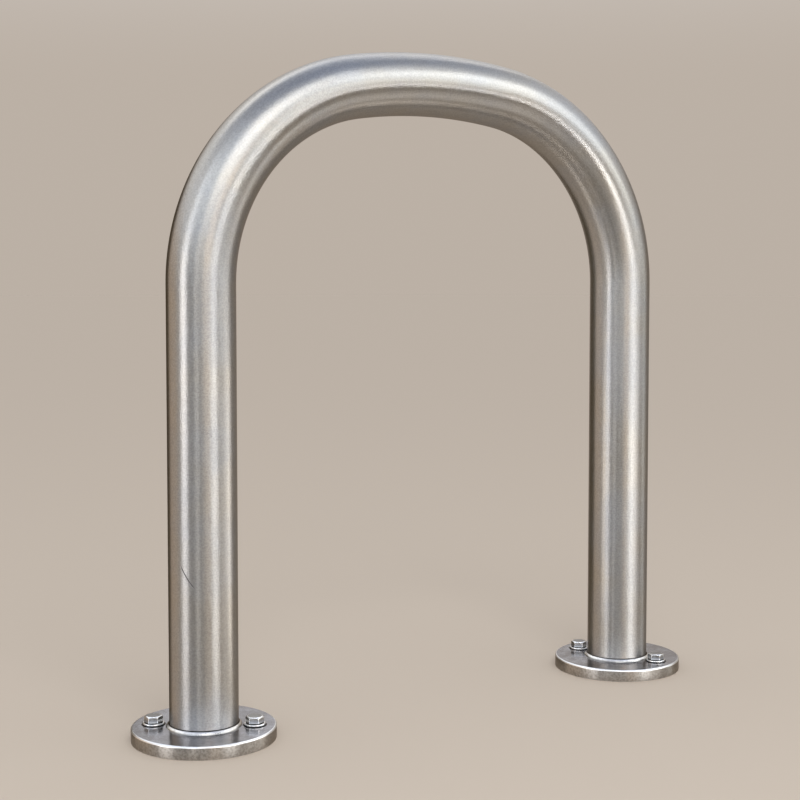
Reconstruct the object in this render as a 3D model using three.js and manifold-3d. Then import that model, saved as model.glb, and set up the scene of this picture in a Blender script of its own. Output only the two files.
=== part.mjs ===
// Hoop bike rack: one bent stainless steel tube, welded at each foot to a round base flange.
// Two hexagon head anchor bolts and their washers hold each flange to the ground.
// Units are millimetres. +X runs along the hoop, +Z is up, and z = 0 is the ground.
import * as THREE from "three";
import { mergeVertices, toCreasedNormals } from "three/addons/utils/BufferGeometryUtils.js";
import Module from "manifold-3d";

const wasm = await Module();
wasm.setup();

// Hoop: a tube with two straight legs, two tight bends and a gently arched crown between them.
// The section is a little flattened where the tube is bent, most of all at the crown.
const legSpacing = 585;
const legLength = 485;
const bendRadius = 228;
const crownHalfAngle = THREE.MathUtils.degToRad(9);
const tubeDiameter = 76.1;
const tubeWall = 3;
const flatteningShare = 0.04;
const tubeSides = 48;
const bendSteps = 16;
const crownSteps = 4;

// Base flange: a round plate with a rounded top edge, a drain hole and two bolt holes
const flangeThickness = 15;
const flangeEdgeRadius = 2;
const flangeRimWidth = 12;
const flangeSides = 72;
const edgeSteps = 4;
const drainDiameter = 20;
const boltHoleClearance = 2;
const holeSides = 24;

// Weld bead: a slightly convex fillet round the foot of the tube
const weldLeg = 4;
const weldGap = 0.3;
const weldBulgeShare = 0.6;
const weldSteps = 4;

// Anchor bolt: a hexagon head over a plain shank that ends just above the ground
const boltDiameter = 12;
const boltHeadShoulder = 3;
const boltHeadHeight = 7.5;
const boltTopFaceShare = 0.93;
const boltChamferAngle = THREE.MathUtils.degToRad(30);
const shankEndChamfer = 1;
const shankGroundGap = 0.5;
const shankSides = 24;
const chamferSides = 48;

// Washer: a flat ring with a small chamfer round its upper edge, clear of the weld
const washerRingWidth = 5.5;
const washerThickness = 2.5;
const washerBoreClearance = 1;
const washerChamfer = 0.5;
const washerWeldClearance = 1.65;
const washerSides = 36;

// Cutting tools run past the faces that they cut by this much
const overrun = 5;

// How each base is turned: the line through its two bolts, and the flats of each bolt head
const bases = [
  {
    side: "left",
    direction: -1,
    boltLine: THREE.MathUtils.degToRad(147.6),
    headTurns: { rear: THREE.MathUtils.degToRad(5), front: THREE.MathUtils.degToRad(-2) },
  },
  {
    side: "right",
    direction: 1,
    boltLine: THREE.MathUtils.degToRad(112.8),
    headTurns: { rear: THREE.MathUtils.degToRad(-12), front: THREE.MathUtils.degToRad(-12) },
  },
];

const bendAngle = Math.PI / 2 - crownHalfAngle;
const bendCentreX = legSpacing / 2 - bendRadius;
const bendCentreZ = flangeThickness + legLength;
const crownRadius = bendRadius + bendCentreX / Math.sin(crownHalfAngle);
const crownCentreZ = bendCentreZ - bendCentreX / Math.tan(crownHalfAngle);
const tubeRadius = tubeDiameter / 2;
const weldInnerRadius = tubeRadius + weldGap;
const washerBore = boltDiameter + washerBoreClearance;
const washerRadius = washerBore / 2 + washerRingWidth;
const boltReach = weldInnerRadius + weldLeg + washerWeldClearance + washerRadius;
const flangeRadius = boltReach + washerRadius + flangeRimWidth;
const washerTop = flangeThickness + washerThickness;
const creaseAngle = THREE.MathUtils.degToRad(40);

// The finish of each kind of piece
const finishes = {
  tube: { color: 0xb4afa8, roughness: 0.34, metalness: 1 },
  plate: { color: 0xa9a8a8, roughness: 0.26, metalness: 1 },
  weld: { color: 0xc9c4bb, roughness: 0.3, metalness: 1 },
  fastener: { color: 0xb9babd, roughness: 0.22, metalness: 1 },
};

// A closed geometry as a solid that can be joined and cut.
function toSolid(geometry) {
  const bare = geometry.clone();
  bare.deleteAttribute("normal");
  bare.deleteAttribute("uv");
  const merged = mergeVertices(bare);
  return new wasm.Manifold(
    new wasm.Mesh({
      numProp: 3,
      vertProperties: merged.getAttribute("position").array,
      triVerts: new Uint32Array(merged.index.array),
    }),
  );
}

// A joined or cut solid as a geometry again.
function toGeometry(solid) {
  const mesh = solid.getMesh();
  const geometry = new THREE.BufferGeometry();
  geometry.setAttribute("position", new THREE.BufferAttribute(mesh.vertProperties, mesh.numProp));
  geometry.setIndex(new THREE.BufferAttribute(mesh.triVerts, 1));
  return geometry;
}

// A named mesh with smooth round faces and sharp edges.
function piece(name, geometry, finish) {
  const material = new THREE.MeshStandardMaterial(finish);
  const mesh = new THREE.Mesh(toCreasedNormals(geometry, creaseAngle), material);
  mesh.name = name;
  return mesh;
}

// Turns a profile of (radius, height) pairs about the Z axis.
function turned(profile, sides) {
  const points = profile.map(([radius, height]) => new THREE.Vector2(radius, height));
  return new THREE.LatheGeometry(points, sides).rotateX(Math.PI / 2);
}

// The centreline of the hoop. Each leg takes one step, and the bends and the crown take several.
class HoopCentreline extends THREE.Curve {
  constructor() {
    super();
    this.steps = 2 + 2 * bendSteps + crownSteps;
  }

  // Both halves are alike, so a place is found on the left half and mirrored.
  locate(share) {
    const mirrored = share > 0.5;
    const side = mirrored ? 1 : -1;
    const step = (mirrored ? 1 - share : share) * this.steps;
    const rise = Math.min(step, 1) * legLength;
    const bend = (THREE.MathUtils.clamp(step - 1, 0, bendSteps) / bendSteps) * bendAngle;
    const crown = (Math.max(step - 1 - bendSteps, 0) / crownSteps) * 2 * crownHalfAngle;
    const turn = bend + crown;
    const x = crown > 0 ? crownRadius * Math.cos(turn) : bendCentreX + bendRadius * Math.cos(bend);
    const z = crown > 0 ? crownCentreZ + crownRadius * Math.sin(turn)
      : flangeThickness + rise + bendRadius * Math.sin(bend);
    return {
      point: new THREE.Vector3(side * x, 0, z),
      tangent: new THREE.Vector3(Math.sin(turn), 0, -side * Math.cos(turn)),
    };
  }

  getPoint(share, target = new THREE.Vector3()) {
    return target.copy(this.locate(share).point);
  }

  getPointAt(share, target = new THREE.Vector3()) {
    return this.getPoint(share, target);
  }

  getTangent(share, target = new THREE.Vector3()) {
    return target.copy(this.locate(share).tangent);
  }

  getTangentAt(share, target = new THREE.Vector3()) {
    return this.getTangent(share, target);
  }
}

// Flattens the bent stretches: a point keeps its turn, moves in towards the centreline in the
// plane of the hoop, and moves out across that plane.
function flatten(geometry) {
  const position = geometry.getAttribute("position");
  for (let i = 0; i < position.count; i += 1) {
    const side = Math.sign(position.getX(i));
    const overBend = Math.abs(position.getX(i)) - bendCentreX;
    const overSpring = position.getZ(i) - bendCentreZ;
    if (overSpring <= 0) continue;
    const onCrown = Math.atan2(overSpring, overBend) > bendAngle;
    const centreX = onCrown ? 0 : bendCentreX;
    const centreZ = onCrown ? crownCentreZ : bendCentreZ;
    const arcRadius = onCrown ? crownRadius : bendRadius;
    const reachX = Math.abs(position.getX(i)) - centreX;
    const reachZ = position.getZ(i) - centreZ;
    const turn = Math.atan2(reachZ, reachX);
    const flattening = flatteningShare * Math.sin(turn) ** 2;
    const radius = arcRadius + (Math.hypot(reachX, reachZ) - arcRadius) * (1 - flattening);
    position.setXYZ(
      i,
      side * (centreX + radius * Math.cos(turn)),
      position.getY(i) * (1 + flattening),
      centreZ + radius * Math.sin(turn),
    );
  }
  return geometry;
}

// The bent tube, open at both feet.
function hoopTube() {
  const section = new THREE.Shape().absarc(0, 0, tubeRadius, 0, 2 * Math.PI);
  section.holes.push(new THREE.Path().absarc(0, 0, tubeRadius - tubeWall, 0, 2 * Math.PI));
  const centreline = new HoopCentreline();
  const geometry = new THREE.ExtrudeGeometry(section, {
    steps: centreline.steps,
    curveSegments: tubeSides / 2,
    extrudePath: centreline,
  });
  return piece("hoop_tube", flatten(geometry), finishes.tube);
}

// The base plate. Its bolt holes lie on its own X axis.
function baseFlange(name) {
  const edge = Array.from({ length: edgeSteps + 1 }, (_, i) => {
    const angle = ((i / edgeSteps) * Math.PI) / 2;
    return [
      flangeRadius - flangeEdgeRadius + flangeEdgeRadius * Math.cos(angle),
      flangeThickness - flangeEdgeRadius + flangeEdgeRadius * Math.sin(angle),
    ];
  });
  const drain = drainDiameter / 2;
  const profile = [[drain, 0], [flangeRadius, 0], ...edge, [drain, flangeThickness], [drain, 0]];
  const holeRadius = (boltDiameter + boltHoleClearance) / 2;
  const holeLength = flangeThickness + 2 * overrun;
  let plate = toSolid(turned(profile, flangeSides));
  for (const end of [-1, 1]) {
    const hole = new THREE.CylinderGeometry(holeRadius, holeRadius, holeLength, holeSides)
      .rotateX(Math.PI / 2)
      .translate(end * boltReach, 0, flangeThickness / 2);
    plate = plate.subtract(toSolid(hole));
  }
  return piece(name, toGeometry(plate), finishes.plate);
}

// The fillet weld that fills the corner between the tube and its plate.
function weldBead(name) {
  const bulge = weldLeg * weldBulgeShare;
  const face = new THREE.QuadraticBezierCurve(
    new THREE.Vector2(weldInnerRadius + weldLeg, flangeThickness),
    new THREE.Vector2(weldInnerRadius + bulge, flangeThickness + bulge),
    new THREE.Vector2(weldInnerRadius, flangeThickness + weldLeg),
  );
  const outline = face.getPoints(weldSteps).map((point) => [point.x, point.y]);
  const root = [weldInnerRadius, flangeThickness];
  return piece(name, turned([root, ...outline, root], tubeSides), finishes.weld);
}

// A flat washer that lies on the plate, round the Z axis.
function washer(name) {
  const boreRadius = washerBore / 2;
  const profile = [
    [boreRadius, flangeThickness],
    [washerRadius, flangeThickness],
    [washerRadius, washerTop - washerChamfer],
    [washerRadius - washerChamfer, washerTop],
    [boreRadius, washerTop],
    [boreRadius, flangeThickness],
  ];
  return piece(name, turned(profile, washerSides), finishes.fastener);
}

// A hexagon head bolt round the Z axis, with one flat of its head facing +X.
function anchorBolt(name) {
  const shankRadius = boltDiameter / 2;
  const flatRadius = shankRadius + boltHeadShoulder;
  const cornerRadius = flatRadius / Math.cos(Math.PI / 6);
  const headMiddle = washerTop + boltHeadHeight / 2;
  const headTop = washerTop + boltHeadHeight;
  const hexagon = new THREE.CylinderGeometry(cornerRadius, cornerRadius, boltHeadHeight, 6)
    .rotateX(Math.PI / 2)
    .translate(0, 0, headMiddle);
  const topRadius = flatRadius * boltTopFaceShare;
  const coneHeight = boltHeadHeight + overrun;
  const coneRadius = topRadius + coneHeight / Math.tan(boltChamferAngle);
  const cone = new THREE.CylinderGeometry(topRadius, coneRadius, coneHeight, chamferSides)
    .rotateX(Math.PI / 2)
    .translate(0, 0, headTop - coneHeight / 2);
  const shank = turned([
    [0, shankGroundGap],
    [shankRadius - shankEndChamfer, shankGroundGap],
    [shankRadius, shankGroundGap + shankEndChamfer],
    [shankRadius, headMiddle],
    [0, headMiddle],
  ], shankSides);
  const head = toSolid(hexagon).intersect(toSolid(cone));
  return piece(name, toGeometry(head.add(toSolid(shank))), finishes.fastener);
}

// One foot of the rack: the plate, its weld, and a bolt and a washer at each end of the bolt line.
function base({ side, direction, boltLine, headTurns }) {
  const group = new THREE.Group();
  group.position.x = (direction * legSpacing) / 2;
  const flange = baseFlange(`${side}_base_flange`);
  flange.rotation.z = boltLine;
  group.add(flange, weldBead(`${side}_weld_bead`));
  for (const [end, reach] of [["rear", boltReach], ["front", -boltReach]]) {
    const fastener = new THREE.Group();
    fastener.position.set(reach * Math.cos(boltLine), reach * Math.sin(boltLine), 0);
    fastener.rotation.z = headTurns[end];
    fastener.add(washer(`${side}_${end}_washer`), anchorBolt(`${side}_${end}_anchor_bolt`));
    group.add(fastener);
  }
  return group;
}

const rack = new THREE.Group();
rack.add(hoopTube(), ...bases.map(base));

export default rack;
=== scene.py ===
import math
from typing import NamedTuple

import bmesh
import bpy
import numpy as np
from bpy.props import FloatProperty, FloatVectorProperty, IntProperty, PointerProperty
from mathutils import Matrix, Vector


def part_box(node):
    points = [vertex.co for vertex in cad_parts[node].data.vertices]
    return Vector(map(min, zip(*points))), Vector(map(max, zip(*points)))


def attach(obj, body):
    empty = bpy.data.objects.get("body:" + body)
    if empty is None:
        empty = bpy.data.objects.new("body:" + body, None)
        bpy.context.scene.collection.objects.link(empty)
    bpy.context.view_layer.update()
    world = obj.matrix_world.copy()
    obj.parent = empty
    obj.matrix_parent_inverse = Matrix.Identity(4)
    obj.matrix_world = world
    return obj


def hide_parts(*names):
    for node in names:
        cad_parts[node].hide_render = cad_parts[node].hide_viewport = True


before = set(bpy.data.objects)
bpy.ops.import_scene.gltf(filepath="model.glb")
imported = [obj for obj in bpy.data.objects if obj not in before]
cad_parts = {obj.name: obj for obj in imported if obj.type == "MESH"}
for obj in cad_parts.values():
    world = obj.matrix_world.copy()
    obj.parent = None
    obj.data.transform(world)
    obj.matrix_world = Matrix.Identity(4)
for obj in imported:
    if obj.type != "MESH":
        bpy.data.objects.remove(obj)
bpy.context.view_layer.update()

bl_info = {
    "name": "Hoop Bike Rack",
    "version": (1, 0, 0),
    "blender": (4, 5, 0),
    "location": "View3D > Sidebar > Bike Rack",
    "description": "Builds a bolted hoop bike rack in satin steel and a pale studio for it",
    "category": "Object",
}

SIDES = ("left", "right")
ENDS = ("rear", "front")


# Sizes and colours that a user can change


def number_setting(name, description, default, **kind):
    return FloatProperty(name=name, description=description, default=default, **kind)


def length_setting(name, description, default):
    return number_setting(name, description, default, unit="LENGTH")


def share_setting(name, description, default):
    return number_setting(name, description, default, subtype="FACTOR")


def angle_setting(name, description, degrees):
    return number_setting(name, description, math.radians(degrees), subtype="ANGLE")


def count_setting(name, description, default):
    return IntProperty(name=name, description=description, default=default)


def colour_setting(name, description, default):
    return FloatVectorProperty(
        name=name, description=description, default=default, subtype="COLOR", min=0, max=1,
    )


class HoopSettings(bpy.types.PropertyGroup):
    """The bent tube."""

    bend_radius: length_setting(
        "Bend radius", "Radius of the two tight bends at the middle of the tube", 0.228,
    )
    crown_half_angle: angle_setting(
        "Crown half angle", "How far the gently arched crown turns to each side of the middle", 9,
    )
    flattening: share_setting(
        "Flattening", "Share by which bending makes the tube flatter and wider at the crown", 0.04,
    )
    wall: length_setting("Wall", "Thickness of the tube's wall", 0.003)
    sides: count_setting("Sides", "Faces round the tube", 144)
    colour: colour_setting("Colour", "Colour of the satin tube", (0.38, 0.368, 0.35))
    roughness: share_setting("Roughness", "Mean roughness of the satin tube", 0.33)
    stretch: share_setting(
        "Stretch", "How far the ground finish draws highlights out along the tube", 0.85,
    )


class PlateSettings(bpy.types.PropertyGroup):
    """The two base plates."""

    edge_radius: length_setting("Edge radius", "Rounding of the plate's upper edge", 0.002)
    lower_edge_radius: length_setting(
        "Lower edge radius", "Rounding of the plate's lower edge", 0.0006,
    )
    drain_diameter: length_setting(
        "Drain diameter", "Hole under the tube that lets water out", 0.02,
    )
    bolt_hole_diameter: length_setting("Bolt hole diameter", "Holes for the anchor bolts", 0.014)
    sides: count_setting("Sides", "Faces round the plate", 192)
    # The top's cool blue tint is a painted reflection of a blue sky.
    colour: colour_setting("Colour", "Colour of the plate", (0.53, 0.55, 0.60))
    # The side's darker, warmer colour is painted shade, a shaded copy of the top's steel.
    shaded_side_colour: colour_setting("Side colour", "Colour of the plate's side", (0.36, 0.335, 0.305))
    side_stretch: share_setting(
        "Side stretch", "How far the turned side draws highlights out upwards", 0.85,
    )
    # The bright upper edge is a painted highlight.
    edge_highlight_colour: colour_setting("Edge colour", "Colour of the rubbed upper edge", (0.86, 0.85, 0.83))
    roughness: share_setting("Roughness", "Mean roughness of the plate", 0.2)
    side_roughness: share_setting("Side roughness", "Mean roughness of the plate's side", 0.36)
    # The dark line round each washer is a painted contact shadow.
    shade_width: length_setting("Dirt width", "Width of the line of dirt round each washer", 0.0021)


class WeldSettings(bpy.types.PropertyGroup):
    """The weld round each foot of the tube."""

    leg: length_setting("Leg", "Height and width of the weld", 0.004)
    ripple_depth: length_setting("Ripple depth", "Height of the weld's ripples", 0.00005)
    ripples: count_setting("Ripples", "Ripples round the tube", 110)
    # The weld's bright colour is a painted highlight on its face.
    colour: colour_setting("Colour", "Colour of the cleaned weld", (0.92, 0.89, 0.84))
    toe_colour: colour_setting(
        "Toe colour", "Colour of the weld's edge on the plate", (0.34, 0.33, 0.31),
    )
    roughness: share_setting("Roughness", "Mean roughness of the weld", 0.3)


class FastenerSettings(bpy.types.PropertyGroup):
    """The anchor bolts and their washers."""

    across_flats: length_setting(
        "Across flats", "Width of the hexagon head between its flats", 0.018,
    )
    shank_diameter: length_setting("Shank diameter", "Outer diameter of the bolt's thread", 0.012)
    thread_pitch: length_setting("Thread pitch", "Rise of the thread in one turn", 0.00175)
    thread_depth: length_setting("Thread depth", "Depth of the thread's groove", 0.0009)
    edge_radius: length_setting("Edge radius", "Rounding of the head's worn edges", 0.0004)
    colour: colour_setting("Colour", "Colour of the bolts and washers", (0.42, 0.42, 0.42))
    # The bright top faces, chamfers and edges of the bolts, and the whole of each washer, are a
    # painted highlight.
    highlight_colour: colour_setting(
        "Rubbed colour", "Colour of the bright top faces and edges", (0.95, 0.95, 0.95),
    )
    roughness: share_setting("Roughness", "Mean roughness of the bolts and washers", 0.3)


class StudioSettings(bpy.types.PropertyGroup):
    """The floor, the backdrop and the camera."""

    floor_colour: colour_setting("Floor colour", "Colour of the pale floor", (0.64, 0.56, 0.485))
    upper_colour: colour_setting(
        "Upper colour", "Colour of the backdrop above the object", (0.9, 0.94, 1.0),
    )
    upper_strength: number_setting(
        "Upper strength", "Strength of the backdrop above the object", 1.58,
    )
    zenith_colour: colour_setting(
        "Zenith colour", "Colour of the backdrop overhead", (0.42, 0.49, 0.67),
    )
    front_colour: colour_setting(
        "Front colour", "Colour of the backdrop behind the camera", (0.39, 0.35, 0.31),
    )
    fill: number_setting("Fill", "Strength of the even light from all round", 0.78)
    lens: number_setting("Lens", "Focal length of the camera", 66.85, unit="CAMERA")
    camera_place: FloatVectorProperty(
        name="Camera place", description="Where the camera stands",
        default=(-0.9486, -1.4906, 0.5078), subtype="TRANSLATION",
    )
    camera_turn: angle_setting("Camera turn", "How far the camera looks to the right of +Y", 31.38)
    camera_dip: angle_setting("Camera dip", "How far the camera looks down", 3.2)
    shift_down: share_setting(
        "Shift down", "How far the picture is shifted, as a share of its width", 0.05,
    )


# Shader nodes written as sums


class Wire:
    """A node's output that can take part in a Python sum, which adds the Math nodes."""

    def __init__(self, tree, socket):
        self.tree = tree
        self.socket = socket

    def math(self, operation, *values):
        return self.tree.node("ShaderNodeMath", {"operation": operation}, dict(enumerate(values)))

    def __add__(self, other):
        return self.math("ADD", self, other)

    def __sub__(self, other):
        return self.math("SUBTRACT", self, other)

    def __rsub__(self, other):
        return self.math("SUBTRACT", other, self)

    def __mul__(self, other):
        return self.math("MULTIPLY", self, other)

    def __truediv__(self, other):
        return self.math("DIVIDE", self, other)

    def __pow__(self, other):
        return self.math("POWER", self, other)

    __radd__ = __add__
    __rmul__ = __mul__

    def size(self):
        return self.math("ABSOLUTE", self)

    def larger(self, other):
        return self.math("MAXIMUM", self, other)

    def step(self, low, high):
        """0 up to low, 1 from high on, and smooth between them."""
        return self.tree.node(
            "ShaderNodeMapRange", {"interpolation_type": "SMOOTHSTEP"},
            {"Value": self, "From Min": low, "From Max": high},
        )

    def swing(self, reach):
        """A noise from 0 to 1, turned into a change of up to half the reach either way."""
        return (self - 0.5) * reach

    def scaled(self, *factors):
        """A place stretched along its axes."""
        return self.tree.node(
            "ShaderNodeVectorMath", {"operation": "MULTIPLY"}, {0: self, 1: factors},
        )

    def parts(self):
        """The x, y and z of a place."""
        first = self.tree.node("ShaderNodeSeparateXYZ", {}, {0: self})
        return [Wire(self.tree, socket) for socket in first.socket.node.outputs]


class NodeTree:
    """A tree of shader nodes."""

    def __init__(self, owner):
        owner.use_nodes = True
        self.owner = owner
        self.tree = owner.node_tree

    def node(self, kind, settings, inputs, output=0):
        """Adds a node of any kind, sets it up, and fills its inputs with values or wires."""
        made = self.tree.nodes.new(kind)
        for name, value in settings.items():
            setattr(made, name, value)
        self.fill(made, inputs)
        return Wire(self, made.outputs[output])

    def fill(self, made, inputs):
        for name, value in inputs.items():
            if isinstance(value, Wire):
                self.tree.links.new(value.socket, made.inputs[name])
            else:
                made.inputs[name].default_value = value

    def fill_shader(self, inputs):
        self.fill(self.tree.nodes["Principled BSDF"], inputs)

    def place(self):
        """Where a point lies on its own piece, with a bent tube laid out straight."""
        return self.node("ShaderNodeAttribute", {"attribute_name": "place"}, {}, "Vector")

    def noise(self, place, scale, detail=2, roughness=0.5):
        return self.node(
            "ShaderNodeTexNoise", {},
            {"Vector": place, "Scale": scale, "Detail": detail, "Roughness": roughness},
        )

    def cells(self, place, scale):
        """Distance to the nearest of a scatter of points, in shares of their spacing."""
        return self.node("ShaderNodeTexVoronoi", {}, {"Vector": place, "Scale": scale})

    def blend(self, share, first, second):
        """A colour that turns from the first to the second as the share grows."""
        inputs = {0: share, 6: opaque(first), 7: opaque(second)}
        return self.node("ShaderNodeMix", {"data_type": "RGBA"}, inputs, 2)


def opaque(colour):
    return colour if isinstance(colour, Wire) else (*colour, 1)


# How much of the bright edge that a clean metal shows at a grazing angle is left
EDGE_TINT_SHARES = (0.62, 0.58, 0.54, 1)
# The share of a full turn that sets the shader's grain along the mesh's own grain direction
GRAIN_TURN_SHARE = 0.25


def steel(colour, roughness, height, stretch=0.0):
    """The material of a metal whose colour, roughness and height in metres vary over it.

    Stretch is how far the grain draws highlights out across itself.
    """
    tree = colour.tree
    bump = tree.node("ShaderNodeBump", {}, {"Strength": 1, "Distance": 1, "Height": height})
    tree.fill_shader({
        "Base Color": colour, "Roughness": roughness, "Normal": bump, "Metallic": 1,
        "Anisotropic": stretch, "Anisotropic Rotation": GRAIN_TURN_SHARE,
        "Specular Tint": EDGE_TINT_SHARES,
    })
    return tree.owner


def new_material(name):
    return NodeTree(bpy.data.materials.new(name))


def shaded(colour, share, tint_shares=(1, 1, 1)):
    """A colour made darker or brighter, and shifted by a share for each of its parts."""
    return tuple(part * share * tint for part, tint in zip(colour, tint_shares))


# Materials


# Painted shade: the dark lines round and under the washers and under the bolt heads.
PAINTED_SHADE_COLOUR = (0.02, 0.02, 0.02)
PIT_COLOUR = (0.16, 0.15, 0.14)
SPECK_COLOUR = (0.12, 0.11, 0.10)
SCRATCH_COLOUR = (0.05, 0.048, 0.045)
# Painted shade in the weld's undercut at the tube.
WELD_SHADE_LINE_COLOUR = (0.05, 0.045, 0.04)
WARM_SHARES = (1.02, 0.99, 0.94)
COOL_SHARES = (0.96, 0.99, 1.05)
# The values of a noise between which it passes softly from its darker to its brighter half
HALF_SHARES = (0.35, 0.65)


class Scratch(NamedTuple):
    """A thin curved scratch on the tube. Its angles are degrees round the tube."""

    upper_angle: float
    lower_angle: float
    upper_along: float
    lower_along: float
    bow: float
    width: float


SCRATCHES = (
    Scratch(-27, -51, 0.184, 0.160, 0.0012, 0.00085),
    Scratch(-66, -83, 0.331, 0.322, -0.0008, 0.00012),
    Scratch(152, 171, 0.236, 0.215, 0.0010, 0.00015),
)


def scratch_mask(tree, place, scratch, radius):
    """1 on the scratch and 0 beside it."""
    x, y, along = place.parts()
    around = tree.node("ShaderNodeMath", {"operation": "ARCTAN2"}, {0: y, 1: x}) * radius
    share = (along - scratch.lower_along) / (scratch.upper_along - scratch.lower_along)
    start = math.radians(scratch.lower_angle) * radius
    run = math.radians(scratch.upper_angle) * radius - start
    bow = share * (1 - share) * (4 * scratch.bow)
    beside = (around - (share * run + start) - bow).size()
    inside = share.step(-0.1, 0.15) * (1 - share.step(0.75, 1.1))
    return (1 - beside.step(scratch.width * 0.4, scratch.width)) * inside


def tube_material(settings, radius):
    """Satin steel: sandy grain, long faint streaks, smudges, small pits and three scratches."""
    tree = new_material("satin_tube_steel")
    place = tree.place()
    grooves = tree.noise(place.scaled(0.15, 0.15, 1), 4000, detail=1)
    sand = tree.noise(place.scaled(0.8, 0.8, 1), 620)
    streaks = tree.noise(place.scaled(1, 1, 0.012), 330, detail=3)
    bands = tree.noise(place.scaled(1, 1, 0.05), 75)
    smudges = tree.noise(place, 11, detail=4, roughness=0.6)
    waves = tree.noise(place.scaled(1, 1, 0.6), 24, detail=1)
    pits = 1 - tree.cells(place.scaled(1, 1, 0.8), 95).step(0.03, 0.075)
    pits = pits * tree.noise(place, 60, detail=1).step(0.52, 0.6)
    scratches = sum(scratch_mask(tree, place, scratch, radius) for scratch in SCRATCHES)

    warm = shaded(settings.colour, 1, WARM_SHARES)
    cool = shaded(settings.colour, 1, COOL_SHARES)
    dull = shaded(settings.colour, 0.78)
    bright = shaded(settings.colour, 1.22)
    colour = tree.blend(smudges.step(*HALF_SHARES), warm, cool)
    tone = bands * 0.6 + streaks * 0.4
    colour = tree.blend(tone.step(*HALF_SHARES) * 0.3, colour, bright)
    colour = tree.blend((1 - sand.step(0.38, 0.5)) * 0.4, colour, dull)
    colour = tree.blend(sand.step(0.5, 0.62) * 0.5, colour, bright)
    colour = tree.blend(pits * 0.5, colour, PIT_COLOUR)
    colour = tree.blend(scratches * 0.85, colour, SCRATCH_COLOUR)

    roughness = settings.roughness + smudges.swing(0.16) + streaks.swing(0.08)
    roughness = roughness + sand.swing(0.06) + pits * 0.2 + scratches * 0.3
    groove_depth = 0.00006
    sand_depth = 0.00015
    streak_depth = 0.00001
    band_depth = 0.00004
    wave_depth = 0.0001
    pit_depth = 0.00004
    scratch_depth = 0.00012
    height = grooves * groove_depth + sand * sand_depth + streaks * streak_depth
    height = height + bands * band_depth + waves * wave_depth
    height = height - pits * pit_depth - scratches * scratch_depth
    return steel(colour, roughness, height, settings.stretch)


def plate_material(settings, radius, bolt_reach, washer_radius):
    """Smooth plate top: wiped smudges, a painted highlight on the rounded edge and a painted contact
    shadow round the washers.
    """
    tree = new_material("rolled_plate_steel")
    place = tree.place()
    x, y, _ = place.parts()
    from_middle = (x * x + y * y) ** 0.5
    past_bolt = x.size() - bolt_reach
    from_bolt = (past_bolt * past_bolt + y * y) ** 0.5
    edge = settings.edge_radius
    rounding = from_middle.step(radius - 1.1 * edge, radius - 0.8 * edge)
    # Painted contact shadow: a dark ring round each washer.
    shade_start = washer_radius + settings.shade_width / 3
    shade = 1 - from_bolt.step(shade_start, washer_radius + settings.shade_width)

    grain = tree.noise(place.scaled(0.06, 1, 1), 700)
    hairs = tree.noise(place.scaled(1, 0.04, 1), 300, detail=3)
    smudges = tree.noise(place, 28, detail=4, roughness=0.6)
    mottle = tree.noise(place, 160, detail=3)
    specks = 1 - tree.cells(place, 140).step(0.03, 0.09)
    specks = specks * tree.noise(place, 90, detail=1).step(0.54, 0.62)

    # The top's cool blue tint is a painted reflection of a blue sky.
    dark = shaded(settings.colour, 0.84)
    light = shaded(settings.colour, 1.12)
    colour = tree.blend((smudges * 0.6 + mottle * 0.4).step(*HALF_SHARES), dark, light)
    # Painted highlight along the rounded upper edge.
    colour = tree.blend(rounding * (0.75 + 0.25 * mottle), colour, settings.edge_highlight_colour)
    colour = tree.blend(specks * 0.45, colour, SPECK_COLOUR)
    # Painted contact shadow round the washers.
    colour = tree.blend(shade * 0.95, colour, PAINTED_SHADE_COLOUR)
    roughness = settings.roughness + smudges.swing(0.2) + grain.swing(0.06)
    roughness = roughness + mottle.swing(0.08) + specks * 0.15 + rounding * 0.12
    grain_depth = 0.000004
    mottle_depth = 0.00001
    smudge_depth = 0.00008
    speck_depth = 0.00003
    height = (grain + hairs) * grain_depth + mottle * mottle_depth
    height = height + smudges * smudge_depth - specks * speck_depth
    return steel(colour, roughness, height)


def side_material(settings):
    """The plate's turned side: fine lines round it, and a darker, warmer mottled tone than the top,
    which is painted shade.
    """
    tree = new_material("turned_side_steel")
    place = tree.place()
    lines = tree.noise(place.scaled(0.05, 0.05, 1), 2600)
    mottle = tree.noise(place, 420, detail=3)
    stains = tree.noise(place, 45, detail=3)
    # The side's darker, warmer colour is painted shade.
    dark = shaded(settings.shaded_side_colour, 0.78)
    light = shaded(settings.shaded_side_colour, 1.18)
    colour = tree.blend((mottle * 0.8 + stains * 0.2).step(*HALF_SHARES), dark, light)
    roughness = settings.side_roughness + mottle.swing(0.12) + lines.swing(0.1)
    line_depth = 0.00001
    mottle_depth = 0.00003
    height = lines * line_depth + mottle * mottle_depth
    return steel(colour, roughness, height, settings.side_stretch)


def weld_material(settings, foot):
    """Brushed weld: a bright face, which is a painted highlight, between a dark line at the tube,
    which is painted shade, and a greyer toe.
    """
    tree = new_material("weld_steel")
    place = tree.place()
    rise = (place.parts()[2] - foot) / settings.leg
    lumps = tree.noise(place, 420, detail=3)
    scale = tree.noise(place, 130, detail=4, roughness=0.6)
    rise = rise + scale.swing(0.2)
    dark = shaded(settings.colour, 0.75)
    # The bright colour of the face is a painted highlight, mottled by the scale noise.
    colour = tree.blend(scale.step(0.3, 0.62), dark, settings.colour)
    colour = tree.blend(1 - rise.step(0.15, 0.4), colour, settings.toe_colour)
    # Painted shade: a dark line along the top of the weld, where it meets the tube.
    colour = tree.blend(rise.step(0.7, 0.8), colour, WELD_SHADE_LINE_COLOUR)
    roughness = settings.roughness + scale.swing(0.16) + lumps.swing(0.08)
    lump_depth = 0.00002
    return steel(colour, roughness, lumps * lump_depth)


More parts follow.
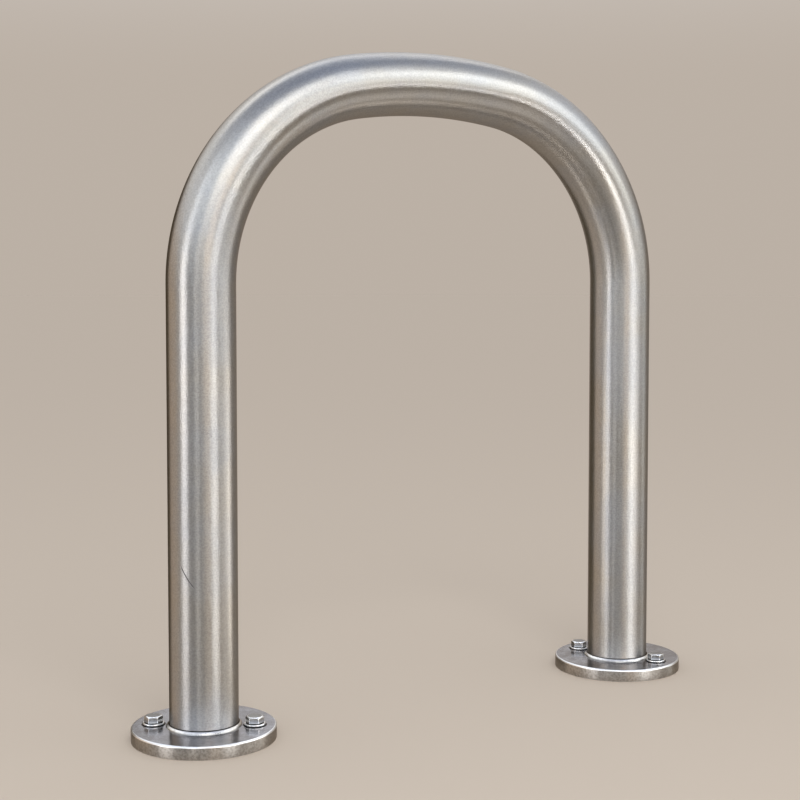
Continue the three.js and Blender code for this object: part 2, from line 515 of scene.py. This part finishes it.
def fastener_material(settings, name, highlit, shadowed):
    """Bolt or washer steel: fine mottling, a painted highlight on its faces and edges, and painted
    shade where parts meet.

    The two functions after the name take a place and give the share of painted highlight and of
    painted shade there.
    """
    tree = new_material(name)
    place = tree.place()
    mottle = tree.noise(place, 900, detail=3)
    marks = tree.noise(place.scaled(1, 1, 0.1), 1400)
    stains = tree.noise(place, 240, detail=3, roughness=0.6)
    # Painted highlight on the bright faces and edges.
    bright = highlit(place) * (0.8 + 0.2 * mottle)
    # Painted shade where parts meet.
    shade = shadowed(place) * 0.95
    dark = shaded(settings.colour, 0.78)
    colour = tree.blend((stains * 0.5 + mottle * 0.5).step(0.35, 0.6), dark, settings.colour)
    colour = tree.blend(bright, colour, settings.highlight_colour)
    colour = tree.blend(shade, colour, PAINTED_SHADE_COLOUR)
    roughness = settings.roughness + mottle.swing(0.1) + stains.swing(0.08)
    roughness = roughness - bright * 0.06 + shade * 0.3
    mottle_depth = 0.000008
    mark_depth = 0.000003
    return steel(colour, roughness, mottle * mottle_depth + marks * mark_depth)


# Meshes


def lofted(name, rings, closed=False):
    """Joins rings of points with quads, back to the first ring or with a flat cap at each end."""
    around = len(rings[0])
    points = np.concatenate(rings)
    faces = []
    for i in range(len(rings) if closed else len(rings) - 1):
        this_ring = i * around
        next_ring = (i + 1) % len(rings) * around
        for j in range(around):
            k = (j + 1) % around
            faces.append((this_ring + j, this_ring + k, next_ring + k, next_ring + j))
    if not closed:
        faces.append(tuple(range(around)))
        faces.append(tuple(range(len(points) - around, len(points))))
    mesh = bpy.data.meshes.new(name)
    mesh.from_pydata(points.tolist(), [], faces)
    face_outwards(mesh)
    return mesh


def face_outwards(mesh):
    """Turns every face of a closed mesh to the outside."""
    editable = bmesh.new()
    editable.from_mesh(mesh)
    bmesh.ops.recalc_face_normals(editable, faces=editable.faces)
    editable.to_mesh(mesh)
    editable.free()


def full_turn(count):
    return np.arange(count) * (2 * math.pi / count)


def level_ring(centre, radius, angles, height):
    """Points round an upright axis. The radius and the height may change with the angle."""
    x = centre.x + radius * np.cos(angles)
    y = centre.y + radius * np.sin(angles)
    return np.stack([x, y, np.broadcast_to(height, angles.shape)], axis=1)


def turned_rings(profile, centre, sides):
    """One level ring for each (radius, height) of a profile."""
    return [level_ring(centre, radius, full_turn(sides), height) for radius, height in profile]


def rounded_corner(radius, height, edge, start, steps=5):
    """Profile points round a corner, a quarter turn from the start angle about its centre."""
    angles = start + np.linspace(0, math.pi / 2, steps + 1)
    return [(radius + edge * math.cos(a), height + edge * math.sin(a)) for a in angles]


def store_place(mesh, places):
    attribute = mesh.attributes.new("place", "FLOAT_VECTOR", "POINT")
    attribute.data.foreach_set("vector", np.asarray(places, np.float32).ravel())


def place_from(mesh, centre, turn=0.0):
    """Stores where each point lies, measured from a centre and turned with its piece."""
    back = Matrix.Rotation(-turn, 3, "Z")
    store_place(mesh, [back @ (vertex.co - centre) for vertex in mesh.vertices])


def add_object(name, data):
    made = bpy.data.objects.new(name, data)
    bpy.context.scene.collection.objects.link(made)
    return made


# Faces that meet at more than this angle show an edge
CREASE_ANGLE = math.radians(32)


def add_piece(name, mesh, material, node):
    """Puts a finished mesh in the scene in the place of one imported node."""
    mesh.materials.append(material)
    mesh.shade_smooth()
    mesh.set_sharp_from_angle(angle=CREASE_ANGLE)
    piece = add_object(name, mesh)
    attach(piece, "root")
    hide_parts(node)


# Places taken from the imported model


def middle_of(node):
    low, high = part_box(node)
    return (low + high) / 2


def foot_of(side):
    """The middle of a base plate's underside, and the plate's radius and thickness."""
    low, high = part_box(f"{side}_base_flange")
    radius = min(high.x - low.x, high.y - low.y) / 2
    centre = (low + high) / 2
    return Vector((centre.x, centre.y, low.z)), radius, high.z - low.z


def bolt_line_of(side):
    """The angle of the line from the front bolt to the rear bolt."""
    reach = middle_of(f"{side}_rear_washer") - middle_of(f"{side}_front_washer")
    return math.atan2(reach.y, reach.x)


class HoopLine:
    """The middle line of the tube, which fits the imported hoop's box."""

    def __init__(self, settings):
        low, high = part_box("hoop_tube")
        spacing = foot_of("right")[0].x - foot_of("left")[0].x
        self.half_spacing = spacing / 2
        self.tube_radius = (high.x - low.x - spacing) / 2
        self.flattening = settings.flattening
        self.foot = low.z
        self.bend_radius = settings.bend_radius
        self.bend_turn = math.pi / 2 - settings.crown_half_angle
        self.bend_x = self.half_spacing - self.bend_radius
        self.crown_radius = self.bend_radius + self.bend_x / math.sin(settings.crown_half_angle)
        top_of_line = high.z - self.tube_radius * (1 - self.flattening)
        self.crown_z = top_of_line - self.crown_radius
        self.bend_z = self.crown_z + self.bend_x / math.tan(settings.crown_half_angle)
        self.leg = self.bend_z - self.foot
        self.bend = self.bend_radius * self.bend_turn
        self.half_crown = self.crown_radius * settings.crown_half_angle
        self.length = 2 * (self.leg + self.bend + self.half_crown)

    def stations(self, *steps):
        """Lengths along the line, for the steps in a leg, in a bend and in half of the crown."""
        ends = (0, self.leg, self.leg + self.bend, self.length / 2)
        runs = zip(ends, ends[1:], steps)
        half = np.concatenate([np.linspace(*run, endpoint=False) for run in runs])
        return np.concatenate([half, [self.length / 2], self.length - half[::-1]])

    def at(self, along):
        """The x and z of the line, and how far it has turned from the left leg's rise."""
        mirrored = along > self.length / 2
        reach = self.length - along if mirrored else along
        if reach <= self.leg:
            turn, x, z = 0.0, self.half_spacing, self.foot + reach
        elif reach <= self.leg + self.bend:
            turn = (reach - self.leg) / self.bend_radius
            x = self.bend_x + self.bend_radius * math.cos(turn)
            z = self.bend_z + self.bend_radius * math.sin(turn)
        else:
            turn = self.bend_turn + (reach - self.leg - self.bend) / self.crown_radius
            x = self.crown_radius * math.cos(turn)
            z = self.crown_z + self.crown_radius * math.sin(turn)
        return (x, z, math.pi - turn) if mirrored else (-x, z, turn)

    def ring(self, along, radius, angles):
        """Points round the line. An angle of zero points away from the middle of the hoop."""
        x, z, turn = self.at(along)
        oval = self.flattening * math.sin(turn) ** 2
        outward = radius * (1 - oval) * np.cos(angles)
        across = radius * (1 + oval) * np.sin(angles)
        return np.stack([x - outward * math.cos(turn), across, z + outward * math.sin(turn)], axis=1)


# The pieces


class RACK_OT_hoop_tube(bpy.types.Operator):
    """Builds the bent tube"""

    bl_idname = "rack.hoop_tube"
    bl_label = "Hoop Tube"

    leg_steps = 24
    bend_steps = 60
    crown_steps = 14
    grain_distance = 10.0
    grain_breadth = 10000.0

    def execute(self, context):
        settings = context.scene.rack_hoop
        line = HoopLine(settings)
        angles = full_turn(settings.sides)
        stations = line.stations(self.leg_steps, self.bend_steps, self.crown_steps)
        rings = []
        places = []
        for radius, order in (
            (line.tube_radius, stations),
            (line.tube_radius - settings.wall, stations[::-1]),
        ):
            for along in order:
                rings.append(line.ring(along, radius, angles))
                places.append(level_ring(Vector(), radius, angles, along))
        mesh = lofted("bent_tube", rings, closed=True)
        store_place(mesh, np.concatenate(places))
        self.lay_grain(mesh)
        material = tube_material(settings, line.tube_radius)
        add_piece("bent_tube", mesh, material, "hoop_tube")
        return {"FINISHED"}

    def lay_grain(self, mesh):
        """Makes the grain run round the tube.

        A material's grain follows the circles round its mesh's texture space. One that lies far
        off along X, and is very long across the hoop, leaves only the direction across the hoop,
        which on the surface of a tube bent in one plane is the direction round the tube.
        """
        mesh.use_auto_texspace = False
        mesh.texspace_location = (-self.grain_distance, 0, 0)
        mesh.texspace_size = (1, self.grain_breadth, 1)


HOLE_SIDES = 64


def cut_holes(mesh, centres, radius, depth):
    """Cuts upright round holes through a mesh that stands on the ground."""
    body = add_object(mesh.name, mesh)
    cutters = []
    for centre in centres:
        ends = [(radius, -depth), (radius, 2 * depth)]
        cutter = add_object("hole", lofted("hole", turned_rings(ends, centre, HOLE_SIDES)))
        cutters.append(cutter)
        modifier = body.modifiers.new("Bolt hole", "BOOLEAN")
        modifier.object = cutter
        modifier.solver = "EXACT"
    depsgraph = bpy.context.evaluated_depsgraph_get()
    cut = bpy.data.meshes.new_from_object(body.evaluated_get(depsgraph))
    for spare in [body, *cutters]:
        bpy.data.objects.remove(spare)
    return cut


class RACK_OT_base_plates(bpy.types.Operator):
    """Builds the two round base plates with their holes"""

    bl_idname = "rack.base_plates"
    bl_label = "Base Plates"

    upright_limit = 0.1
    top_steps = 12

    def execute(self, context):
        settings = context.scene.rack_plate
        radius = foot_of("left")[1]
        reach = (middle_of("left_rear_washer") - middle_of("left_front_washer")).length / 2
        low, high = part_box("left_rear_washer")
        material = plate_material(settings, radius, reach, (high.x - low.x) / 2)
        turned_side = side_material(settings)
        edge = settings.edge_radius
        lower_edge = settings.lower_edge_radius
        drain = settings.drain_diameter / 2
        for side in SIDES:
            foot, radius, thickness = foot_of(side)
            flat = radius - edge
            profile = [
                (drain, 0),
                *rounded_corner(radius - lower_edge, lower_edge, lower_edge, -math.pi / 2),
                *rounded_corner(flat, thickness - edge, edge, 0),
                *[(r, thickness) for r in np.linspace(flat - edge / 8, drain, self.top_steps)],
            ]
            mesh = lofted(f"{side}_plate", turned_rings(profile, foot, settings.sides), closed=True)
            centres = [middle_of(f"{side}_{end}_washer") for end in ENDS]
            mesh = cut_holes(mesh, centres, settings.bolt_hole_diameter / 2, thickness)
            place_from(mesh, foot, bolt_line_of(side))
            add_piece(f"{side}_plate", mesh, material, f"{side}_base_flange")
            # The upright side gets the darker, warmer material, which is painted shade.
            mesh.materials.append(turned_side)
            for face in mesh.polygons:
                if abs(face.normal.z) < self.upright_limit:
                    face.material_index = 1
        return {"FINISHED"}


class RACK_OT_weld_beads(bpy.types.Operator):
    """Builds the rippled weld round each foot of the tube"""

    bl_idname = "rack.weld_beads"
    bl_label = "Weld Beads"

    face_steps = 12
    steps_a_ripple = 6
    bulge_share = 0.6
    overlap_share = 0.02
    crescent_lean = 2.5

    def execute(self, context):
        settings = context.scene.rack_weld
        material = weld_material(settings, foot_of("left")[2])
        tube_radius = HoopLine(context.scene.rack_hoop).tube_radius
        inner = tube_radius - self.overlap_share * settings.leg
        angles = full_turn(settings.ripples * self.steps_a_ripple)
        bulge = self.bulge_share * settings.leg
        for side in SIDES:
            foot, _, thickness = foot_of(side)
            plate_top = foot.z + thickness
            rings = [level_ring(foot, inner, angles, plate_top)]
            for share in np.linspace(0, 1, self.face_steps + 1):
                toe = (1 - share) ** 2
                middle = 2 * share * (1 - share)
                top = share ** 2
                crescent = np.sin(settings.ripples * angles + self.crescent_lean * middle)
                swell = settings.ripple_depth * math.sin(math.pi * share) * crescent
                radius = inner + toe * settings.leg + middle * bulge + swell
                height = top * settings.leg + middle * bulge + swell
                rings.append(level_ring(foot, radius, angles, plate_top + height))
            mesh = lofted(f"{side}_weld", rings, closed=True)
            place_from(mesh, foot)
            add_piece(f"{side}_weld", mesh, material, f"{side}_weld_bead")
        return {"FINISHED"}


class RACK_OT_washers(bpy.types.Operator):
    """Builds the flat washers"""

    bl_idname = "rack.washers"
    bl_label = "Washers"

    bore_clearance = 0.001
    # Heights over which the painted shade on the washer's lower rim fades out.
    shade_start = -0.0004
    shade_end = 0.0001
    shade_share = 0.53
    upper_edge = 0.0006
    lower_edge = 0.00015
    sides = 120

    def execute(self, context):
        settings = context.scene.rack_fastener

        def highlit(place):
            """1 all over, so the whole washer carries the painted highlight."""
            return 1

        def shadowed(place):
            """1 on the lower half of the rim and close round the bolt head, where shade is painted.
            """
            x, y, z = place.parts()
            low = 1 - z.step(self.shade_start, self.shade_end)
            reach = (x * x + y * y) ** 0.5
            head = settings.across_flats * self.shade_share
            return low.larger(1 - reach.step(head - self.lower_edge, head + self.lower_edge))

        material = fastener_material(settings, "washer_steel", highlit, shadowed)
        bore = (settings.shank_diameter + self.bore_clearance) / 2
        upper = self.upper_edge
        lower = self.lower_edge
        for side in SIDES:
            for end in ENDS:
                node = f"{side}_{end}_washer"
                low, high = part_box(node)
                centre = (low + high) / 2
                radius = min(high.x - low.x, high.y - low.y) / 2
                profile = [
                    *rounded_corner(radius - lower, low.z + lower, lower, -math.pi / 2, 2),
                    *rounded_corner(radius - upper, high.z - upper, upper, 0),
                    (radius - upper - lower, high.z),
                    *rounded_corner(bore + lower, high.z - lower, lower, math.pi / 2, 2),
                    *rounded_corner(bore + lower, low.z + lower, lower, math.pi, 2),
                ]
                mesh = lofted(node, turned_rings(profile, centre, self.sides), closed=True)
                place_from(mesh, centre)
                add_piece(f"{side}_{end}_ring", mesh, material, node)
        return {"FINISHED"}


# How many degrees the flats of each bolt head are turned about its shank
HEAD_TURNS = {
    ("left", "rear"): 5,
    ("left", "front"): -2,
    ("right", "rear"): -12,
    ("right", "front"): -12,
}


class RACK_OT_anchor_bolts(bpy.types.Operator):
    """Builds the hexagon head bolts with their threads"""

    bl_idname = "rack.anchor_bolts"
    bl_label = "Anchor Bolts"

    top_face_share = 0.93
    bearing_face_share = 0.95
    bearing_face_height = 0.0004
    # Heights over which the painted shade in the recess over the washer fades out.
    shade_start = 0.0006
    shade_end = 0.0010
    # Heights over which the painted highlight on the chamfer fades in, and shares that set the
    # painted highlight on the upright edges and how much dimmer it is on the top face.
    highlight_start = 0.0001
    highlight_end = 0.0004
    edge_shares = (0.555, 0.568)
    top_dimming_share = 0.35
    chamfer_slope = math.tan(math.radians(30))
    corner_steps = 4
    flat_steps = 8
    steps_a_pitch = 10
    groove_slope = 1.3
    crest_share = 0.15
    end_chamfer = 0.001

    def execute(self, context):
        settings = context.scene.rack_fastener
        head_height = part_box("left_rear_anchor_bolt")[1].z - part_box("left_rear_washer")[1].z
        top_radius = self.top_face_share * settings.across_flats / 2

        def highlit(place):
            """1 on the top face, on the chamfer and along the upright edges, where a highlight is
            painted.
            """
            x, y, z = place.parts()
            reach = (x * x + y * y) ** 0.5
            below_cone = (reach - top_radius) * -self.chamfer_slope + head_height - z
            edge_start, edge_end = (share * settings.across_flats for share in self.edge_shares)
            upright_edge = reach.step(edge_start, edge_end)
            on_cone = 1 - below_cone.step(self.highlight_start, self.highlight_end)
            top = z.step(head_height - self.highlight_start, head_height)
            top = top * below_cone.size().step(0, self.highlight_end)
            return on_cone.larger(upright_edge) * (1 - self.top_dimming_share * top)

        def shadowed(place):
            """1 on the recess over the washer, where shade is painted."""
            return 1 - place.parts()[2].step(self.shade_start, self.shade_end)

        material = fastener_material(settings, "bolt_steel", highlit, shadowed)
        for (side, end), degrees in HEAD_TURNS.items():
            turn = math.radians(degrees)
            node = f"{side}_{end}_anchor_bolt"
            low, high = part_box(node)
            centre = middle_of(f"{side}_{end}_washer")
            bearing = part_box(f"{side}_{end}_washer")[1].z
            rings = self.head(settings, high.z, bearing) + self.shank(settings, bearing, low.z)
            place = Matrix.Translation((centre.x, centre.y, 0)) @ Matrix.Rotation(turn, 4, "Z")
            mesh = lofted(node, rings)
            mesh.transform(place)
            place_from(mesh, Vector((centre.x, centre.y, bearing)), turn)
            add_piece(f"{side}_{end}_bolt", mesh, material, node)
        return {"FINISHED"}

    def outline(self, settings):
        """Points round the hexagon with rounded corners, one flat facing +X."""
        edge = settings.edge_radius
        reach = (settings.across_flats / 2 - edge) / math.cos(math.pi / 6)
        corners = []
        for i in range(6):
            corner = math.pi / 6 + i * math.pi / 3
            angles = corner + np.linspace(-math.pi / 6, math.pi / 6, self.corner_steps + 1)
            x = reach * math.cos(corner) + edge * np.cos(angles)
            y = reach * math.sin(corner) + edge * np.sin(angles)
            corners.append(np.stack([x, y], axis=1))
        points = []
        for i, corner in enumerate(corners):
            points.append(corner)
            shares = np.arange(1, self.flat_steps)[:, None] / self.flat_steps
            points.append(corner[-1] * (1 - shares) + corners[(i + 1) % 6][0] * shares)
        return np.concatenate(points)

    def head(self, settings, top, bearing):
        """Rings from the middle of the top face over the chamfer and the flats to the washer."""
        outline = self.outline(settings)
        reach = np.linalg.norm(outline, axis=1)
        directions = outline / reach[:, None]
        edge = settings.edge_radius / 2
        flat = settings.across_flats / 2
        top_radius = flat * self.top_face_share

        def ring(radius, height):
            radius = np.broadcast_to(radius, reach.shape)
            heights = np.broadcast_to(height, reach.shape)
            return np.column_stack([directions * radius[:, None], heights])

        def cone(radius):
            return top - (radius - top_radius) * self.chamfer_slope

        step = bearing + self.bearing_face_height
        return [
            ring(top_radius / 2, top),
            ring(top_radius - 2 * edge, top),
            ring(top_radius - edge, top - edge * 0.05),
            ring(top_radius, top - edge * 0.25),
            ring(top_radius + edge, cone(top_radius + edge)),
            ring(reach - edge, cone(reach - edge)),
            ring(reach - edge * 0.25, cone(reach) - edge * 0.35),
            ring(reach, cone(reach) - edge * 1.2),
            ring(reach, step + edge),
            ring(reach - edge * 0.3, step + edge * 0.3),
            ring(reach - edge, step),
            ring(flat * self.bearing_face_share, step),
            ring(flat * self.bearing_face_share, bearing),
            ring(settings.shank_diameter / 2, bearing),
        ]

    def shank(self, settings, bearing, end):
        """Rings down a threaded shank with a chamfered end."""
        outline = self.outline(settings)
        angles = np.arctan2(outline[:, 1], outline[:, 0])
        outer = settings.shank_diameter / 2
        pitch = settings.thread_pitch
        start = bearing - pitch / 2
        steps = round((start - end) / pitch * self.steps_a_pitch)
        rings = []
        for height in np.linspace(start, end, steps + 1):
            turns = height / pitch + angles / (2 * math.pi)
            groove = np.abs((turns % 1) * 2 - 1)
            share = np.clip(self.groove_slope * groove - self.crest_share, 0, 1)
            limit = outer - max(0, self.end_chamfer - (height - end))
            radius = np.minimum(outer - settings.thread_depth * share, limit)
            rings.append(level_ring(Vector(), radius, angles, height))
        return rings


# The studio


class Lamp(NamedTuple):
    """A soft rectangular lamp, or a faint card that only reflections show.

    Its bearing is degrees to the right of the camera.
    """

    name: str
    bearing: float
    distance: float
    height: float
    width: float
    length: float
    brightness: float
    colour: tuple
    lights_floor: bool = False


LAMPS = (
    Lamp("front_softbox", 12, 1.9, 2.05, 1.4, 1.45, 2.1, (1, 1, 0.98), True),
    Lamp("left_softbox", -33, 2.1, 1.76, 1.8, 0.65, 1.2, (0.68, 0.82, 1)),
    Lamp("right_softbox", 77, 2.2, 1.55, 1.4, 1.45, 1.5, (0.94, 0.99, 1)),
    Lamp("rear_softbox", -165, 1.03, 2.3, 2.4, 0.6, 1.4, (0.94, 0.97, 1)),
    Lamp("left_window", -53, 8, 0.3, 3, 2.1, 4.5, (0.96, 0.96, 1)),
    Lamp("right_low_window", 47.5, 8, -0.5, 2.9, 1.05, 8, (0.97, 0.98, 1)),
    Lamp("right_window", 43, 8, 0.35, 2.8, 0.8, 3.7, (0.97, 0.98, 1)),
    Lamp("right_high_window", 41, 8, 1.75, 4, 2, 1, (0.96, 1, 1)),
    Lamp("left_high_window", -52, 8, 2.4, 1.8, 2, 0.65, (0.88, 0.98, 1)),
    Lamp("right_side_window", 104, 8, -0.15, 1.4, 2.1, 1.3, (0.88, 0.97, 1)),
    Lamp("warm_window", 23, 8, 1.4, 2.6, 1.2, 3.1, (1, 0.79, 0.6)),
    Lamp("near_strip", -17.5, 1.5, 0.3, 0.09, 1.3, 1.6, (1, 0.97, 0.94)),
    Lamp("left_inner_strip", -78, 0.06, 0.22, 0.05, 0.42, 1.6, (1, 0.92, 0.84)),
    Lamp("right_inner_strip", 75, 0.195, 0.2, 0.07, 0.42, 2.1, (1, 0.93, 0.86)),
    Lamp("right_front_strip", 61, 0.59, 0.1, 0.22, 0.44, 0.4, (1, 0.99, 0.97)),
    Lamp("right_outer_strip", 81, 0.7, 0.2, 0.17, 0.5, 1, (1, 0.98, 0.97)),
)


CARDS = (
    Lamp("left_rear_card", -140, 2.4, 0.3, 1.9, 2.1, 1, (0.14, 0.11, 0.07)),
    Lamp("left_warm_card", -98, 2.6, 0.25, 1.9, 2.1, 1, (0.72, 0.58, 0.46)),
    Lamp("right_rear_card", 141, 2.4, 0.3, 1.9, 2.1, 1, (0.42, 0.38, 0.34)),
)


class RACK_OT_studio(bpy.types.Operator):
    """Sets up the pale floor, the backdrop, the lamps and the camera"""

    bl_idname = "rack.studio"
    bl_label = "Studio"

    shown_radius = 0.105
    floor_radius = 40.0
    floor_sides = 96
    floor_roughness = 0.9
    level_height = 1.3
    target_height = 0.4
    watts_a_square_metre = 4
    front_limits = (0.55, 0.8)
    rear_limits = (-0.8, -0.2)
    rear_lift = 0.12
    upper_limits = (0.0, 0.5)
    zenith_limits = (0.6, 0.95)

    def execute(self, context):
        settings = context.scene.rack_studio
        self.add_floor(settings)
        self.add_backdrop(context, settings)
        for lamp in LAMPS:
            self.add_lamp(settings, lamp)
        for card in CARDS:
            self.add_card(settings, card)
        self.add_camera(context, settings)
        context.scene.view_settings.view_transform = "Standard"
        return {"FINISHED"}

    def add_floor(self, settings):
        """The floor, in three level parts: a round one at each foot and one all round these.

        Only the round parts show in the metal. Past them it shows the backdrop, which has the
        floor's colour, and the lamps and cards, which reach below the floor's level.
        """
        tree = new_material("pale_floor")
        tree.fill_shader({
            "Base Color": opaque(settings.floor_colour), "Roughness": self.floor_roughness,
            "Specular IOR Level": 0,
        })
        angles = full_turn(self.floor_sides)
        rims = [level_ring(foot_of(side)[0], self.shown_radius, angles, 0) for side in SIDES]
        outer_rim = level_ring(Vector(), self.floor_radius, angles, 0)
        floor = self.add_sheet("floor", [outer_rim, *rims], tree.owner)
        floor.visible_glossy = False
        left = self.add_sheet("floor_at_left_foot", rims[:1], tree.owner)
        right = self.add_sheet("floor_at_right_foot", rims[1:], tree.owner)

    def add_sheet(self, name, rims, material):
        """A flat sheet inside the first rim, with a hole for each further rim."""
        editable = bmesh.new()
        for rim in rims:
            corners = [editable.verts.new(point) for point in rim]
            for corner, following in zip(corners, corners[1:] + corners[:1]):
                editable.edges.new((corner, following))
        bmesh.ops.triangle_fill(editable, use_beauty=True, edges=editable.edges)
        mesh = bpy.data.meshes.new(name)
        editable.to_mesh(mesh)
        editable.free()
        mesh.materials.append(material)
        return add_object(name, mesh)

    def add_backdrop(self, context, settings):
        """Even light, and behind it the plain backdrop that the camera and the metal see.

        The limits are of the part of a direction that points up or towards the camera's side.
        Only the metal sees the darker part behind the camera.
        """
        world = bpy.data.worlds.new("studio")
        context.scene.world = world
        tree = NodeTree(world)
        direction = tree.node("ShaderNodeTexCoord", {}, {}, "Generated")
        x, y, rise = direction.parts()
        turn = settings.camera_turn
        to_front = x * -math.sin(turn) + y * -math.cos(turn)
        horizon = shaded(settings.floor_colour, settings.fill)
        front = shaded(settings.front_colour, settings.fill)
        upper = shaded(settings.upper_colour, settings.upper_strength)
        path = tree.node("ShaderNodeLightPath", {}, {}).socket.node
        camera, glossy, transmission = (
            Wire(tree, path.outputs[f"Is {kind} Ray"])
            for kind in ("Camera", "Glossy", "Transmission")
        )
        shown = tree.blend(to_front.step(*self.front_limits) * (1 - camera), horizon, front)
        behind = 1 - to_front.step(*self.rear_limits)
        upper_rise = rise - behind * self.rear_lift
        shown = tree.blend(upper_rise.step(*self.upper_limits), shown, upper)
        shown = tree.blend(rise.step(*self.zenith_limits), shown, settings.zenith_colour)
        fill = (settings.fill,) * 3
        colour = tree.blend(camera.larger(glossy).larger(transmission), fill, shown)
        tree.fill(tree.tree.nodes["Background"], {"Color": colour, "Strength": 1})

    def set_up(self, settings, made, lamp):
        """Puts a lamp or a card at its bearing and turns it to face the object."""
        angle = -math.pi / 2 - settings.camera_turn + math.radians(lamp.bearing)
        x = lamp.distance * math.cos(angle)
        y = lamp.distance * math.sin(angle)
        target = lamp.height if lamp.height < self.level_height else self.target_height
        made.location = (x, y, lamp.height)
        made.rotation_mode = "QUATERNION"
        made.rotation_quaternion = Vector((-x, -y, target - lamp.height)).to_track_quat("-Z", "Y")
        made.visible_camera = False
        made.visible_diffuse = lamp.lights_floor

    def add_lamp(self, settings, lamp):
        data = bpy.data.lights.new(lamp.name, "AREA")
        data.shape = "RECTANGLE"
        data.size = lamp.width
        data.size_y = lamp.length
        data.color = lamp.colour
        data.energy = lamp.brightness * self.watts_a_square_metre * lamp.width * lamp.length
        self.set_up(settings, add_object(lamp.name, data), lamp)

    def add_card(self, settings, card):
        x = card.width / 2
        y = card.length / 2
        tree = new_material(card.name)
        tree.fill_shader({
            "Base Color": (0, 0, 0, 1), "Specular IOR Level": 0,
            "Emission Color": opaque(card.colour), "Emission Strength": card.brightness,
        })
        corners = [(-x, -y, 0), (x, -y, 0), (x, y, 0), (-x, y, 0)]
        piece = self.add_sheet(card.name, [corners], tree.owner)
        self.set_up(settings, piece, card)
        piece.visible_shadow = False

    def add_camera(self, context, settings):
        data = bpy.data.cameras.new("camera")
        data.lens = settings.lens
        data.shift_y = -settings.shift_down
        data.clip_end = 2 * self.floor_radius
        camera = add_object("camera", data)
        camera.location = settings.camera_place
        camera.rotation_euler = (math.pi / 2 - settings.camera_dip, 0, -settings.camera_turn)
        context.scene.camera = camera


# The panel and the run


class RACK_PT_panel(bpy.types.Panel):
    """Lists the rack's pieces and its studio"""

    bl_idname = "RACK_PT_panel"
    bl_label = "Hoop Bike Rack"
    bl_space_type = "VIEW_3D"
    bl_region_type = "UI"
    bl_category = "Bike Rack"

    def draw(self, context):
        for operator in OPERATORS:
            self.layout.operator(operator.bl_idname)
        for name in SETTINGS:
            settings = getattr(context.scene, name)
            box = self.layout.box()
            for key in settings.bl_rna.properties.keys():
                if key not in {"rna_type", "name"}:
                    box.prop(settings, key)


OPERATORS = (
    RACK_OT_studio,
    RACK_OT_hoop_tube,
    RACK_OT_base_plates,
    RACK_OT_weld_beads,
    RACK_OT_washers,
    RACK_OT_anchor_bolts,
)
SETTINGS = {
    "rack_hoop": HoopSettings,
    "rack_plate": PlateSettings,
    "rack_weld": WeldSettings,
    "rack_fastener": FastenerSettings,
    "rack_studio": StudioSettings,
}


def register():
    for name, group in SETTINGS.items():
        bpy.utils.register_class(group)
        setattr(bpy.types.Scene, name, PointerProperty(type=group))
    for cls in (*OPERATORS, RACK_PT_panel):
        bpy.utils.register_class(cls)


def unregister():
    for cls in (RACK_PT_panel, *reversed(OPERATORS)):
        bpy.utils.unregister_class(cls)
    for name, group in SETTINGS.items():
        delattr(bpy.types.Scene, name)
        bpy.utils.unregister_class(group)


def main():
    register()
    bpy.ops.rack.studio()
    bpy.ops.rack.hoop_tube()
    bpy.ops.rack.base_plates()
    bpy.ops.rack.weld_beads()
    bpy.ops.rack.washers()
    bpy.ops.rack.anchor_bolts()


if __name__ == "__main__":
    main()
